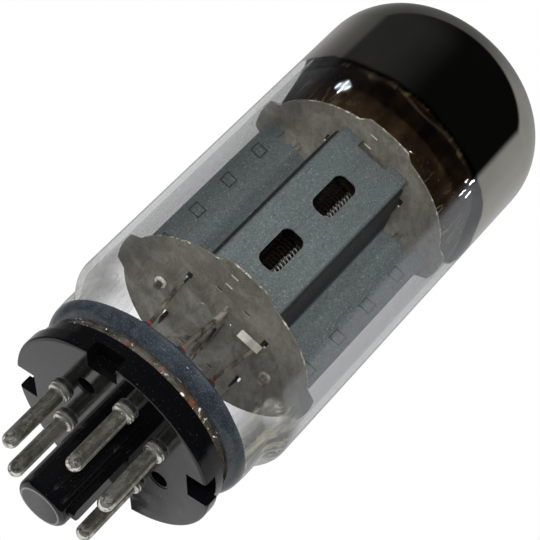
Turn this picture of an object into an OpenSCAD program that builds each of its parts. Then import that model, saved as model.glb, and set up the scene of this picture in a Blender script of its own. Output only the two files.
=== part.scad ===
// Beam power pentode with an octal plug-in base, millimetres.
// Origin: centre of the base's flat underside, +Z along the axis towards the glass dome, locating key at +X.

/* [Base] */
// How far the flange stays inside the neck of the glass
flange_in = 0.35; // [0.1:0.05:0.6]
// Height of the flange
flange_h = 2.1; // [1.6:0.1:2.2]
// Step from the flange in to the wall above it
wall_in = 0.4; // [0.2:0.05:0.6]
// Height of the whole moulding above its underside
base_h = 3.9; // [3.6:0.1:4.2]
// Thickness of the plate that carries the pins
plate_t = 2.4; // [2.3:0.1:2.6]
// Width of the rim round the hollow above the plate
rim_w = 3.6; // [3.2:0.1:5]
// Width of the four notches in the flange
notch_w = 4.8; // [3:0.2:6]
// How far the notches cut in from the flange
notch_d = 3.4; // [2:0.1:4]
// Rounding of the lower edge of the flange
flange_round = 0.5; // [0.2:0.1:0.8]

/* [Spigot] */
// Radius of the spigot
spigot_r = 3.9; // [3.7:0.05:3.95]
// Length below the underside
spigot_l = 14; // [12.5:0.5:16]
// Rounding of its end
spigot_round = 0.9; // [0.4:0.1:1]
// Radius of the bore for the exhaust tip
spigot_bore_r = 2.7; // [2.3:0.1:2.8]
// Width of the locating key
key_w = 2; // [1.6:0.1:2.2]
// Distance of the key's face from the axis
key_x = 4.8; // [4.4:0.1:5]
// Length of the key
key_l = 12.8; // [8:0.2:13]

/* [Pins] */
// Radius of the pin circle
pin_circle_r = 8.725; // [8.6:0.025:8.8]
// Pin radius
pin_r = 1.18; // [1:0.02:1.2]
// Pin length below the underside
pin_l = 11.1; // [9:0.1:12]
// Radius of the shank that is held in the plate
shank_r = 1.36; // [1.34:0.02:1.44]
// Radius of the collar at the pin's root
collar_r = 1.62; // [1.5:0.02:1.8]
// Thickness of the collar
collar_h = 0.46; // [0.4:0.02:0.6]
// Depth of the pocket that the collar seats in
pocket_d = 0.1; // [0.06:0.02:0.2]
// Clearance round the collar in its pocket
pocket_gap = 0.1; // [0.06:0.02:0.2]
// Radius of the bead below the collar
bead_r = 0.28; // [0.2:0.02:0.34]
// Length of the pin above the plate
pin_top = 0.8; // [0.4:0.1:1]

/* [Glass] */
// Bulb radius
bulb_r = 18.44; // [18:0.02:19]
// Neck radius below the shoulder
neck_r = 16.75; // [16.5:0.05:17.2]
// Wall thickness
glass_t = 1; // [0.8:0.1:1.1]
// Corner radius of the dome
dome_corner = 10.6; // [8:0.2:12]
// Radius of the dome's crown
crown_r = 76; // [50:2:120]
// Height where the dome's corner starts
dome_z = 71.7; // [68:0.1:80]
// Height where the bulb and its stem are fused
fuse_z = 7.6; // [7.4:0.1:8]
// Radius of the bulging edge of the stem
bulge_r = 2.55; // [2.2:0.05:2.8]
// Underside of the stem
stem_z = 5.4; // [5.2:0.1:5.6]
// Top of the stem inside the bulb
stem_top = 8.4; // [8.2:0.1:9]
// How far the skirt that stands on the base is inside the neck
skirt_in = 1.9; // [1.7:0.1:2.2]
// Width of the skirt
skirt_w = 0.7; // [0.5:0.1:0.9]
// Height where the shoulder starts to widen
shoulder_low = 11.6; // [11:0.1:12.5]
// Height where the shoulder reaches the bulb
shoulder_top = 15.2; // [14.8:0.1:17]
// Radius of the exhaust tip
tip_r = 2; // [1.5:0.1:2.2]
// Length of the exhaust tip below the base's underside
tip_l = 6; // [3:0.5:9]
// Lower edge of the mirror coat
coat_z = 62.2; // [58:0.2:70]
// Thickness of the mirror coat
coat_t = 0.1; // [0.08:0.02:0.2]

/* [Micas] */
// Gap between the micas and the glass
mica_gap = 0.24; // [0.12:0.02:0.5]
// Thickness
mica_t = 0.3; // [0.2:0.05:0.4]
// Underside of the lower mica
mica_low_z = 22.1; // [21.4:0.1:22.6]
// Underside of the upper mica
mica_up_z = 53.6; // [53:0.1:54]
// How far the rim stays inside the four ears that steady the cage in the glass
mica_in = 1.2; // [0.6:0.1:1.5]
// Half width of an ear
ear_w = 3.2; // [2.4:0.1:4]
// How much an ear widens down to the rim, on each side
ear_flare = 1.6; // [0.8:0.1:2.4]

/* [Anode] */
// Sheet thickness
sheet_t = 0.3; // [0.2:0.05:0.35]
// Half width over the wings
wing_u = 15.2; // [14.6:0.1:15.4]
// Half width of the box at the wings
root_u = 7.6; // [7.2:0.1:7.8]
// Half width of the box at the flat panel
panel_u = 6.3; // [6:0.1:6.6]
// Distance of the flat panel from the axis
panel_v = 12.1; // [11.6:0.1:12.4]
// Gap between the box edges and the micas
edge_gap = 1.3; // [0.8:0.1:1.6]
// Slant between the flat panel and the side walls
panel_slant = 0.8; // [0.4:0.1:1.2]
// Width of the groove down the panel
groove_w = 1.1; // [0.6:0.1:1.6]
// Half width of the windows
window_u = 1.8; // [1.4:0.1:2.2]
// Length of each window
window_l = 7.2; // [5:0.2:9]
// Corner radius of the windows
window_round = 1.3; // [0.6:0.1:1.4]
// Heights of the two window centres
window_z = [31.45, 43.5];
// Distance of the support rods from the axis
rod_u = 9.7; // [9.3:0.1:10]
// Radius of the support rods
rod_r = 0.5; // [0.4:0.02:0.6]
// Clearance between a rod and the swells of the wings round it
rod_gap = 0.06; // [0.04:0.02:0.1]
// Half width of a swell
swell_w = 2; // [1.6:0.1:2.1]
// Heights of the four crimp marks on each wing
crimp_z = [27, 34.1, 41.2, 48.3];
// Outer size of a crimp mark
crimp_w = 1.9; // [1.4:0.1:2.2]
// Width and depth of its pressed line
crimp_line = 0.14; // [0.08:0.02:0.2]
// Half width of the foot that the panel stands on the micas with
foot_in = 2.6; // [2:0.1:3.4]
// Width of the wings' feet
wing_foot = 2.4; // [1.6:0.1:3]
// Height of the eyelets on the support rods
eyelet_h = 0.5; // [0.3:0.1:0.8]
// Wall of the eyelets
eyelet_w = 0.45; // [0.3:0.05:0.6]

/* [Grids and cathode] */
// Winding pitch of both grids
pitch = 0.67; // [0.6:0.01:1.2]
// Thickness of the grid wire
wire_t = 0.14; // [0.1:0.01:0.18]
// Distance of the screen grid's side rods from the axis
screen_v = 7; // [6.8:0.05:7.1]
// Radius of the screen grid's side rods
screen_r = 0.45; // [0.35:0.01:0.46]
// Distance of the control grid's side rods from the axis
control_v = 5.3; // [5.2:0.05:5.4]
// Radius of the control grid's side rods
control_r = 0.4; // [0.3:0.01:0.42]
// Half width of the screen grid
screen_u = 2.7; // [2.2:0.1:3]
// Half width of the control grid
control_u = 1.5; // [1.2:0.1:1.8]
// Half width of the flattened cathode
cathode_u = 0.75; // [0.7:0.01:0.8]
// Half length of the cathode across the tube
cathode_v = 3.4; // [2.8:0.05:3.6]
// Distance of the beam plates' end walls from the axis
plate_v = 9.5; // [9.2:0.1:9.8]
// Half width of the beam plates
plate_u = 3.7; // [3.5:0.1:4]
// Sheet thickness of the beam plates
beam_t = 0.2; // [0.15:0.05:0.3]
// Where the beam plates' side walls end, measured from the axis
beam_reach = 4.6; // [4:0.1:5.4]
// Radius of the heater wire
heater_r = 0.3; // [0.2:0.05:0.35]

/* [Leads] */
// How far the circle of lead seals is inside the neck
seal_in = 3.2; // [3:0.1:3.9]
// Radius of a lead seal
seal_r = 0.5; // [0.4:0.05:0.6]
// Radius of the lead wires
lead_r = 0.35; // [0.25:0.05:0.4]
// Radius of the wires down to the pins
pin_wire_r = 0.25; // [0.15:0.05:0.25]
// Angle between two neighbouring seals
seal_step = 24; // [22:0.5:26]

/* [Getter] */
// Radius of the getter ring
getter_r = 2.6; // [2:0.1:3.4]
// Height of the getter ring
getter_z = 66; // [62:0.5:68]
// Distance of the ring's centre from the axis
getter_v = 8; // [4:0.5:9]
// Distance of the post's foot from the axis
post_v = 12.4; // [11:0.2:13]
// Radius of the post
post_r = 0.3; // [0.2:0.05:0.4]
// Radius of the ring's tube
getter_tube_r = 0.45; // [0.3:0.05:0.6]

/* [Hidden] */
$fn = 64;
// The electrode cage is turned about the axis so that its windows face halfway between two pins
cage_turn = 22.5;
flange_r = neck_r - flange_in;
wall_r = flange_r - wall_in;
hollow_r = wall_r - rim_w;
notch_x = flange_r - notch_d;
skirt_r = neck_r - skirt_in;
seal_circle_r = neck_r - seal_in;
bulge_c = neck_r - 0.05 - bulge_r;
mica_r = bulb_r - glass_t - mica_gap;
rim_r = mica_r - mica_in;
floor_z = mica_low_z + mica_t;
anode_lo = floor_z + edge_gap;
anode_hi = mica_up_z - edge_gap;
mica_up_top = mica_up_z + mica_t;
stub_lo = mica_low_z - 1.4;
stub_hi = mica_up_top + 1;
rod_lo = stub_lo - 0.6;
leg_lo = stub_lo - 1;
tab_v = 6.5;
tab_w = 1.6;
tab_u = root_u - (root_u - panel_u) * tab_v / (panel_v - panel_slant);
turns = floor((anode_hi - anode_lo - 1.5) / pitch);
seal_top = stem_top + 1.4;
seal_low = stem_z - 0.7;
front_seals = [-90 + cage_turn - seal_step, -90 + cage_turn, -90 + cage_turn + seal_step];
seals = concat(front_seals, [for (a = front_seals) a + 180]);
// Pins in the order of the seals that feed them
fed_pins = [5, 7, 8, 2, 3, 4];
leg_v = 1.6;
strap_t = 0.15;
strap_h = 1.3;
strap_z = stub_lo - 1;
strap_v = tab_v + tab_w / 2;
strap_u = 3.4;
strap_past_tab = 0.2;
wire_sides = 10;
bead_z = pocket_d - collar_h - bead_r + 0.04;
beam_tab_u = 2.5;
// The openings in the beam plates are a little larger than the windows in front of them
beam_open_u = window_u + 0.2;
beam_open_l = window_l + 0.6;
// Two short slits in each mica, near the ear
slit_v = [mica_r - 5.4, mica_r - 2.7];
slit_u = 1.6;
slit_l = 1.2;
slit_w = 0.35;

function pin_angle(n) = 22.5 + 45 * (n - 1);
function polar(r, a, z) = [r * cos(a), r * sin(a), z];
// A point of the electrode cage: u across the wings, v out through the front panel
function cage(u, v, z) = [
  u * cos(cage_turn) + v * sin(cage_turn),
  u * sin(cage_turn) - v * cos(cage_turn),
  z];

module in_cage() {
  rotate([0, 0, cage_turn]) mirror([0, 1, 0]) children();
}

function unit(v) = v / norm(v);

// A route whose corners are rounded, each starting at the distance cut before its corner
function rounded(points, cut) = concat([points[0]],
  [for (i = [1 : len(points) - 2])
    let (p = points[i], a = p + cut * unit(points[i - 1] - p), b = p + cut * unit(points[i + 1] - p))
    for (t = [0 : 1 / 3 : 1.01]) (1 - t) * (1 - t) * a + 2 * t * (1 - t) * p + t * t * b],
  [points[len(points) - 1]]);

function first_ring(p, d, r) =
  let (a = unit(cross(d, [0.31, 1, 0.17])), b = cross(d, a))
  [for (k = [0 : wire_sides - 1]) p + r * (cos(360 * k / wire_sides) * a + sin(360 * k / wire_sides) * b)];

// Carries a ring along its stretch to the plane that halves the bend at the next point
function rings(path, ring, i = 0) =
  i == len(path) - 1 ? ring :
  let (d = unit(path[i + 1] - path[i]), n = i + 2 < len(path) ? unit(d + unit(path[i + 2] - path[i + 1])) : d)
  concat(ring, rings(path, [for (v = ring) v + d * ((path[i + 1] - v) * n) / (d * n)], i + 1));

module bent_wire(points, r, cut) {
  path = rounded(points, cut);
  m = wire_sides;
  last = (len(path) - 1) * m;
  polyhedron(
    points = rings(path, first_ring(path[0], unit(path[1] - path[0]), r)),
    faces = concat([[for (k = [0 : m - 1]) k]],
      [for (j = [0 : m : last - m]) for (k = [0 : m - 1])
        [j + k, j + m + k, j + m + (k + 1) % m, j + (k + 1) % m]],
      [[for (k = [m - 1 : -1 : 0]) last + k]]));
}

// Base moulding with its spigot and key

module base_section() {
  translate([0, 0]) square([flange_r - flange_round, base_h]);
  translate([0, flange_round]) square([flange_r, flange_h - flange_round]);
  translate([flange_r - flange_round, flange_round]) circle(r = flange_round);
}

module spigot_section() {
  translate([0, -spigot_l + spigot_round]) square([spigot_r, spigot_l]);
  translate([0, -spigot_l]) square([spigot_r - spigot_round, spigot_l]);
  translate([spigot_r - spigot_round, -spigot_l + spigot_round]) circle(r = spigot_round);
}

module locating_key() {
  translate([0, -key_w / 2, -key_l + key_w / 2]) cube([key_x, key_w, key_l]);
  translate([0, 0, -key_l + key_w / 2]) rotate([0, 90, 0]) cylinder(h = key_x, r = key_w / 2);
}

module base() {
  color("#111214")
  difference() {
    union() {
      rotate_extrude() intersection() {
        base_section();
        union() {
          square([flange_r + 1, flange_h]);
          square([wall_r, base_h]);
        }
      }
      rotate_extrude() spigot_section();
      locating_key();
    }
    translate([0, 0, plate_t]) cylinder(h = base_h, r = hollow_r);
    translate([0, 0, -spigot_l + 1.6]) cylinder(h = spigot_l + base_h, r = spigot_bore_r);
    for (n = [1 : 8]) rotate([0, 0, pin_angle(n)]) translate([pin_circle_r, 0, -1]) {
      cylinder(h = plate_t + 2, r = shank_r);
      cylinder(h = 1 + pocket_d, r = collar_r + pocket_gap);
    }
    for (a = [0 : 90 : 270]) rotate([0, 0, a]) translate([notch_x, -notch_w / 2, -1])
      cube([notch_d + 2, notch_w, plate_t + 1]);
  }
}

module pin(n) {
  rotate([0, 0, pin_angle(n)]) translate([pin_circle_r, 0, 0]) rotate_extrude() {
    translate([0, -pin_l + pin_r]) square([pin_r, pin_l - pin_r]);
    square([shank_r, plate_t + pin_top]);
    intersection() {
      translate([0, -pin_l + pin_r]) circle(r = pin_r);
      translate([0, -pin_l]) square([pin_r, pin_l]);
    }
    translate([0, pocket_d - collar_h]) square([collar_r, collar_h]);
    translate([0, bead_z]) square([collar_r - bead_r, -bead_z]);
    translate([collar_r - bead_r, bead_z]) circle(r = bead_r);
  }
}

module pin_2() { color("#a8a496") pin(2); }
module pin_3() { color("#a8a496") pin(3); }
module pin_4() { color("#a8a496") pin(4); }
module pin_5() { color("#a8a496") pin(5); }
module pin_7() { color("#a8a496") pin(7); }
module pin_8() { color("#a8a496") pin(8); }

// Glass: pressed stem with a bulging edge, bulb, mirror coat inside the dome

module bulge_section() {
  intersection() {
    translate([bulge_c, fuse_z]) circle(r = bulge_r);
    translate([bulge_c, 0]) square([bulge_r + 1, fuse_z]);
  }
}

module glass_stem() {
  color("#39424c")
  difference() {
    union() {
      rotate_extrude() union() {
        bulge_section();
        translate([0, stem_z]) square([neck_r - glass_t - 0.2, stem_top - stem_z]);
        translate([skirt_r - skirt_w, base_h]) square([skirt_w, stem_z - base_h + 0.5]);
      }
      for (a = seals) rotate([0, 0, a]) translate([seal_circle_r, 0, stem_top - 0.5])
        cylinder(h = 1.5, r1 = 1.7, r2 = 0.75);
      translate([0, 0, -tip_l]) cylinder(h = stem_z + tip_l + 0.2, r = tip_r);
      translate([0, 0, -tip_l]) sphere(r = tip_r);
    }
    for (a = seals) rotate([0, 0, a]) translate([seal_circle_r, 0, stem_z - 2]) cylinder(h = 8, r = seal_r);
    translate([0, 0, -tip_l]) cylinder(h = tip_l + stem_top + 2, r = tip_r - 1);
  }
}

module bulb_section(t) {
  c_r = dome_corner - t;
  c_x = bulb_r - dome_corner;
  k = crown_r - t;
  reach = crown_r - dome_corner;
  rise = sqrt(reach * reach - c_x * c_x);
  tangent_x = c_x * k / reach;
  translate([0, shoulder_top]) square([bulb_r - t, dome_z - shoulder_top]);
  intersection() {
    translate([c_x, dome_z]) circle(r = c_r);
    translate([c_x, dome_z]) square([c_r + 1, c_r + 1]);
  }
  intersection() {
    translate([0, dome_z - rise]) circle(r = k);
    translate([0, dome_z - 1]) square([tangent_x, 30]);
  }
  translate([0, dome_z - 1]) square([c_x, 1 + c_r * rise / reach]);
  rise_z = shoulder_top - shoulder_low;
  polygon(concat([[0, fuse_z], [neck_r - 0.05 - t, fuse_z], [neck_r + 0.05 - t, fuse_z + 1.4]],
    [for (k = [0 : 5]) [neck_r + 0.05 - t + (bulb_r - neck_r - 0.05) * (1 - cos(36 * k)) / 2,
      shoulder_low + rise_z * k / 5]],
    [[0, shoulder_top]]));
}

module glass_bulb() {
  color([0.8, 0.85, 0.87, 0.3])
  rotate_extrude($fn = 96) difference() {
    bulb_section(0);
    bulb_section(glass_t);
  }
}

module mirror_coat() {
  color("#1d1a15")
  rotate_extrude($fn = 96) intersection() {
    difference() {
      bulb_section(glass_t);
      bulb_section(glass_t + coat_t);
    }
    translate([0, coat_z]) square([bulb_r, 40]);
  }
}

// Leads through the stem, wires to the pins and to the cage

module lead_seals() {
  color("#8a2420")
  for (a = seals) rotate([0, 0, a]) translate([seal_circle_r, 0, seal_low])
    cylinder(h = seal_top - seal_low, r = seal_r, $fn = 32);
}

module pin_wires() {
  color("#b08a5a")
  for (i = [0 : 5]) {
    top = polar(seal_circle_r, seals[i], seal_low);
    foot = polar(pin_circle_r, pin_angle(fed_pins[i]), plate_t + pin_top);
    bent_wire([top, top - [0, 0, 0.5], [foot[0], foot[1], seal_low - 0.5], foot], pin_wire_r, 0.3);
  }
}

// Heights and points part of the way from the seals up to the cage
function lead_z(part) = seal_top + part * (stub_lo - seal_top);
function halfway(share, a, part) = polar(share * seal_circle_r, a, lead_z(part));

// Each wire leaves its seal straight, crosses over and ends straight at the piece it is welded to
module lead_wire(i) {
  rise = 0.6;
  drop = [0, 0, 1.1];
  foot = polar(seal_circle_r, seals[i], seal_top);
  bends = [
    [],
    [halfway(0.93, seals[1], 0.31), halfway(0.63, seals[1], 0.76)],
    [],
    [halfway(0.93, seals[3], 0.31), cage(0.3, -leg_v - 2, lead_z(0.71))],
    [halfway(0.93, seals[4], 0.22), cage(-0.2, -control_v - 2.1, lead_z(0.65))],
    [halfway(0.91, seals[5], 0.25), cage(-3.6, 0.4, lead_z(0.63))]];
  ends = [
    cage(-tab_u, tab_v, stub_lo),
    cage(0, screen_v, rod_lo),
    cage(tab_u - 0.6, strap_v - lead_r, stub_lo - 0.2),
    cage(0, -leg_v, leg_lo),
    cage(0, -control_v, rod_lo),
    cage(0, leg_v, leg_lo)];
  bent_wire(concat([foot, foot + [0, 0, rise]], bends[i], [ends[i] - drop, ends[i]]), lead_r, 0.4);
}

module lead_wires() {
  color("#8c8478")
  for (i = [0 : 5]) lead_wire(i);
}

module weld_strap() {
  color("#c9c6bc")
  in_cage() translate([strap_u, strap_v, strap_z])
    cube([tab_u + strap_past_tab - strap_u, strap_t, strap_h]);
}

// Micas

module slot_through(u, v, du, dv) {
  in_cage() translate([u - du / 2, v - dv / 2, -1]) cube([du, dv, mica_t + 2]);
}

// One ear points along each axis of the cage
module ear() {
  w = ear_w + ear_flare;
  x = sqrt(rim_r * rim_r - w * w) - 0.05;
  polygon([[0, -w], [x, -w], [mica_r, -ear_w], [mica_r, ear_w], [x, w], [0, w]]);
}

module mica() {
  difference() {
    union() {
      cylinder(h = mica_t, r = rim_r, $fn = 96);
      intersection() {
        cylinder(h = mica_t, r = mica_r, $fn = 96);
        linear_extrude(mica_t) for (k = [0 : 3]) rotate(cage_turn + 90 * k) ear();
      }
    }
    for (s = [-1, 1]) {
      translate(cage(s * rod_u, 0, -1)) cylinder(h = mica_t + 2, r = rod_r);
      translate(cage(0, s * screen_v, -1)) cylinder(h = mica_t + 2, r = screen_r);
      translate(cage(0, s * control_v, -1)) cylinder(h = mica_t + 2, r = control_r);
      slot_through(s * tab_u, tab_v, sheet_t + 0.5, tab_w + 0.2);
      slot_through(s * tab_u, -tab_v, sheet_t + 0.5, tab_w + 0.2);
      for (u = [-beam_tab_u, beam_tab_u]) slot_through(u, s * (plate_v - beam_t / 2), 1.1, beam_t + 0.2);
      for (v = slit_v) slot_through(-s * slit_u, s * v, slit_l, slit_w);
    }
    in_cage() translate([0, 0, -1]) linear_extrude(mica_t + 2) cathode_outline(0);
  }
}

module mica_lower() { color("#8b8073") translate([0, 0, mica_low_z]) mica(); }
module mica_upper() { color("#8b8073") translate([0, 0, mica_up_z]) mica(); }

// Anode: two pressed halves crimped together along their wings

// Height of the swell at a share of its half width, inside and out
function swell(share, lift) = (rod_r + rod_gap) * (1 + cos(180 * share)) / 2 + lift;

module swell_outline(lift) {
  polygon(concat([[-swell_w, -0.2]], [for (k = [-6 : 6]) [k / 6 * swell_w, swell(k / 6, lift)]],
    [[swell_w, -0.2]]));
}

module sheet_section() {
  t = sheet_t;
  fold = panel_v - panel_slant;
  flat = panel_u - panel_slant + 0.1;
  difference() {
    union() {
      polygon([[-wing_u, 0], [-wing_u, t], [-root_u, t], [-panel_u, fold], [-flat, panel_v], [flat, panel_v],
        [panel_u, fold], [root_u, t], [wing_u, t], [wing_u, 0]]);
      for (s = [-1, 1]) intersection() {
        translate([s * rod_u, 0]) swell_outline(t);
        translate([s * rod_u - 3, 0]) square([6, 3]);
      }
    }
    polygon([[-root_u + t, -1], [-root_u + t, 0.1], [-panel_u + t, fold - t / 2], [-flat + t / 2, panel_v - t],
      [flat - t / 2, panel_v - t], [panel_u - t, fold - t / 2], [root_u - t, 0.1], [root_u - t, -1]]);
    for (s = [-1, 1]) translate([s * rod_u, 0]) swell_outline(0);
  }
}

// Outline of a half seen from the front: feet at the panel and the wing ends, open edges between
module edge_outline() {
  h = mica_up_z - floor_z;
  c = 0.9;
  foot_out = panel_u - 0.5;
  difference() {
    union() {
      translate([-wing_u, floor_z + c]) square([2 * wing_u, h - 2 * c]);
      translate([-wing_u + c, floor_z]) square([2 * (wing_u - c), h]);
      for (s = [-1, 1]) for (z = [floor_z + c, mica_up_z - c])
        translate([s * (wing_u - c), z]) circle(r = c, $fn = 32);
    }
    for (z = [floor_z - 1, anode_hi]) {
      translate([-foot_in, z]) square([2 * foot_in, edge_gap + 1]);
      for (u = [foot_out, wing_foot - wing_u])
        translate([u, z]) square([wing_u - wing_foot - foot_out, edge_gap + 1]);
    }
  }
}

module window_outline() {
  w = window_u;
  h = window_l / 2;
  c = window_round;
  square([2 * w, 2 * (h - c)], center = true);
  square([2 * (w - c), 2 * h], center = true);
  for (x = [c - w, w - c]) for (y = [c - h, h - c]) translate([x, y]) circle(r = c, $fn = 32);
}

module crimp_mark() {
  difference() {
    translate([-crimp_w / 2, -crimp_w / 2]) square(crimp_w);
    translate([-crimp_w / 2 + crimp_line, -crimp_w / 2 + crimp_line]) square(crimp_w - 2 * crimp_line);
  }
}

// Stands a flat outline up so that it faces the front panel's direction
module facing(v0, depth) {
  translate([0, v0 + depth, 0]) rotate([90, 0, 0]) linear_extrude(depth) children();
}

module anode_half() {
  difference() {
    union() {
      intersection() {
        translate([0, 0, floor_z]) linear_extrude(mica_up_z - floor_z) sheet_section();
        facing(-1, panel_v + 2) edge_outline();
      }
      intersection() {
        translate([0, 0, stub_lo]) linear_extrude(stub_hi - stub_lo) sheet_section();
        translate([-root_u, tab_v - tab_w / 2, stub_lo]) cube([2 * root_u, tab_w, stub_hi - stub_lo]);
      }
    }
    for (z = window_z) translate([0, 0, z]) facing(panel_v - 1, 2) window_outline();
    translate([-groove_w / 2, panel_v - sheet_t / 3, anode_lo - 1]) cube([groove_w, 1, anode_hi - anode_lo + 2]);
    for (s = [-1, 1]) for (z = crimp_z) translate([s * (wing_u - crimp_w), 0, z])
      facing(sheet_t - crimp_line, 1) crimp_mark();
  }
}

module anode_front() { color("#565c60") in_cage() anode_half(); }
module anode_back() { color("#565c60") rotate([0, 0, 180]) in_cage() anode_half(); }

module anode_rods() {
  color("#b9b5a8")
  for (s = [-1, 1]) translate(cage(s * rod_u, 0, stub_lo)) cylinder(h = stub_hi - stub_lo, r = rod_r, $fn = 32);
}

module rod_eyelets() {
  color("#c8c2ae")
  for (s = [-1, 1]) for (z = [mica_low_z - eyelet_h, mica_up_top])
    translate(cage(s * rod_u, 0, z)) difference() {
      cylinder(h = eyelet_h, r = rod_r + eyelet_w, $fn = 32);
      translate([0, 0, -1]) cylinder(h = 3, r = rod_r, $fn = 32);
    }
}

// Beam plates: channels that wrap the ends of the grids, with openings behind the windows

module channel_section() {
  t = beam_t;
  c = 0.8;
  difference() {
    polygon([[-plate_u, beam_reach], [-plate_u, plate_v - c], [-plate_u + c, plate_v],
      [plate_u - c, plate_v], [plate_u, plate_v - c], [plate_u, beam_reach]]);
    polygon([[-plate_u + t, beam_reach - 1], [-plate_u + t, plate_v - c - t / 2],
      [-plate_u + c + t / 2, plate_v - t], [plate_u - c - t / 2, plate_v - t],
      [plate_u - t, plate_v - c - t / 2], [plate_u - t, beam_reach - 1]]);
  }
}

module beam_plate() {
  difference() {
    union() {
      translate([0, 0, floor_z]) linear_extrude(mica_up_z - floor_z) channel_section();
      for (s = [-1, 1]) translate([s * beam_tab_u - 0.5, plate_v - beam_t, mica_low_z])
        cube([1, beam_t, mica_up_top - mica_low_z]);
    }
    for (z = window_z) translate([-beam_open_u, plate_v - 1, z - beam_open_l / 2])
      cube([2 * beam_open_u, 2, beam_open_l]);
  }
}

module beam_plate_front() { color("#4a4a48") in_cage() beam_plate(); }
module beam_plate_back() { color("#4a4a48") rotate([0, 0, 180]) in_cage() beam_plate(); }

// Grids: side rods with one flattened loop of wire a turn

module side_rods(v, r, low, high) {
  for (s = [-1, 1]) translate(cage(0, s * v, low)) cylinder(h = high - low, r = r, $fn = 24);
}

module loop_outline(v, w, t) {
  polygon([[-0.5 - t, v + t], [0.5 + t, v + t], [w * 0.85 + t, v * 0.66], [w + t, v * 0.3], [w + t, -v * 0.3],
    [w * 0.85 + t, -v * 0.66], [0.5 + t, -v - t], [-0.5 - t, -v - t], [-w * 0.85 - t, -v * 0.66],
    [-w - t, -v * 0.3], [-w - t, v * 0.3], [-w * 0.85 - t, v * 0.66]]);
}

// One loop a turn, round the outside of a pair of side rods
module winding(v, w) {
  for (i = [0 : turns]) in_cage() translate([0, 0, anode_lo + 0.7 + i * pitch]) linear_extrude(wire_t)
    difference() {
      loop_outline(v, w, wire_t);
      loop_outline(v, w, 0);
    }
}

module screen_rods() { color("#b7b09c") side_rods(screen_v, screen_r, rod_lo, stub_hi); }
module screen_winding() { color("#c8c4b4") winding(screen_v + screen_r, screen_u); }
module control_rods() { color("#a9744c") side_rods(control_v, control_r, rod_lo, stub_hi); }
module control_winding() { color("#c8c4b4") winding(control_v + control_r, control_u); }

// Cathode and heater

module cathode_outline(inset) {
  r = cathode_u - inset;
  square([2 * r, 2 * (cathode_v - cathode_u)], center = true);
  for (s = [-1, 1]) translate([0, s * (cathode_v - cathode_u)]) circle(r = r, $fn = 32);
}

module cathode_sleeve() {
  color("#d8d6cf")
  in_cage() translate([0, 0, stub_lo]) linear_extrude(stub_hi - stub_lo) difference() {
    cathode_outline(0);
    cathode_outline(0.12);
  }
}

module heater() {
  bend_z = mica_up_z - 3.5;
  color("#e6e2d6")
  bent_wire([cage(0, -leg_v, leg_lo), cage(0, -leg_v, bend_z), cage(0, leg_v, bend_z), cage(0, leg_v, leg_lo)],
    heater_r, 0.8);
}

// Getter: flashed ring on a bent post that stands on the upper mica

module getter_ring() {
  color("#7d776b")
  translate(cage(0, -getter_v, getter_z)) rotate_extrude($fn = 48)
    translate([getter_r, 0]) circle(r = getter_tube_r, $fn = 20);
}

module getter_post() {
  below = getter_tube_r + 0.17;
  color("#b9b5a8")
  bent_wire([cage(0, -post_v, mica_up_top), cage(0, -post_v, getter_z - 3),
    cage(0, -getter_v - getter_r, getter_z - below)], post_r, 0.8);
}

base();
pin_2();
pin_3();
pin_4();
pin_5();
pin_7();
pin_8();
glass_stem();
glass_bulb();
mirror_coat();
lead_seals();
pin_wires();
lead_wires();
weld_strap();
mica_lower();
mica_upper();
anode_front();
anode_back();
anode_rods();
rod_eyelets();
beam_plate_front();
beam_plate_back();
screen_rods();
screen_winding();
control_rods();
control_winding();
cathode_sleeve();
heater();
getter_ring();
getter_post();
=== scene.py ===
"""Looks of a beam power pentode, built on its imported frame. Metres, base's underside at z = 0."""

import math

import bpy
from mathutils import Matrix, Vector


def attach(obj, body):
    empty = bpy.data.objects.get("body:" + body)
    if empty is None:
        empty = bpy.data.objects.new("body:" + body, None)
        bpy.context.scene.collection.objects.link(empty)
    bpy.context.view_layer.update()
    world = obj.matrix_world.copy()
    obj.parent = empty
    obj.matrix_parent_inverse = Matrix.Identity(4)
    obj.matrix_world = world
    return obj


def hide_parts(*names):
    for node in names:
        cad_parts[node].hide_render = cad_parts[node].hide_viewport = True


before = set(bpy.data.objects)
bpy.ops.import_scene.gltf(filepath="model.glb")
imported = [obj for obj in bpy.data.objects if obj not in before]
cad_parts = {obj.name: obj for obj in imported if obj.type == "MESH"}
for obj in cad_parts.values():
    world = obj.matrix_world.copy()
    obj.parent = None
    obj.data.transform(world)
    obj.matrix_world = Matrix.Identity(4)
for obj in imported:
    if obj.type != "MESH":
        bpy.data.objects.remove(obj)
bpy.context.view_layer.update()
scene = bpy.context.scene
scene.view_settings.view_transform = "Standard"
MM = 0.001

# Camera: its place in metres, and the picture's own directions
CAMERA_PLACE = Vector((0.110977, -0.220311, -0.107767))
RIGHT = Vector((0.79569, 0.00874, 0.60564))
DOWN = Vector((0.46370, 0.63450, -0.61838))
FORWARD = Vector((-0.38968, 0.77287, 0.50082))
VALVE_CENTRE = Vector((0, 0, 0.03497))

lens = bpy.data.cameras.new("camera")
lens.lens = 135.32
lens.sensor_width = 36
lens.clip_start = 0.01
lens.clip_end = 10
camera = bpy.data.objects.new("camera", lens)
axes = Matrix((RIGHT, -DOWN, -FORWARD)).transposed()
camera.matrix_world = Matrix.Translation(CAMERA_PLACE) @ axes.to_4x4()
scene.collection.objects.link(camera)
scene.camera = camera


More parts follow.
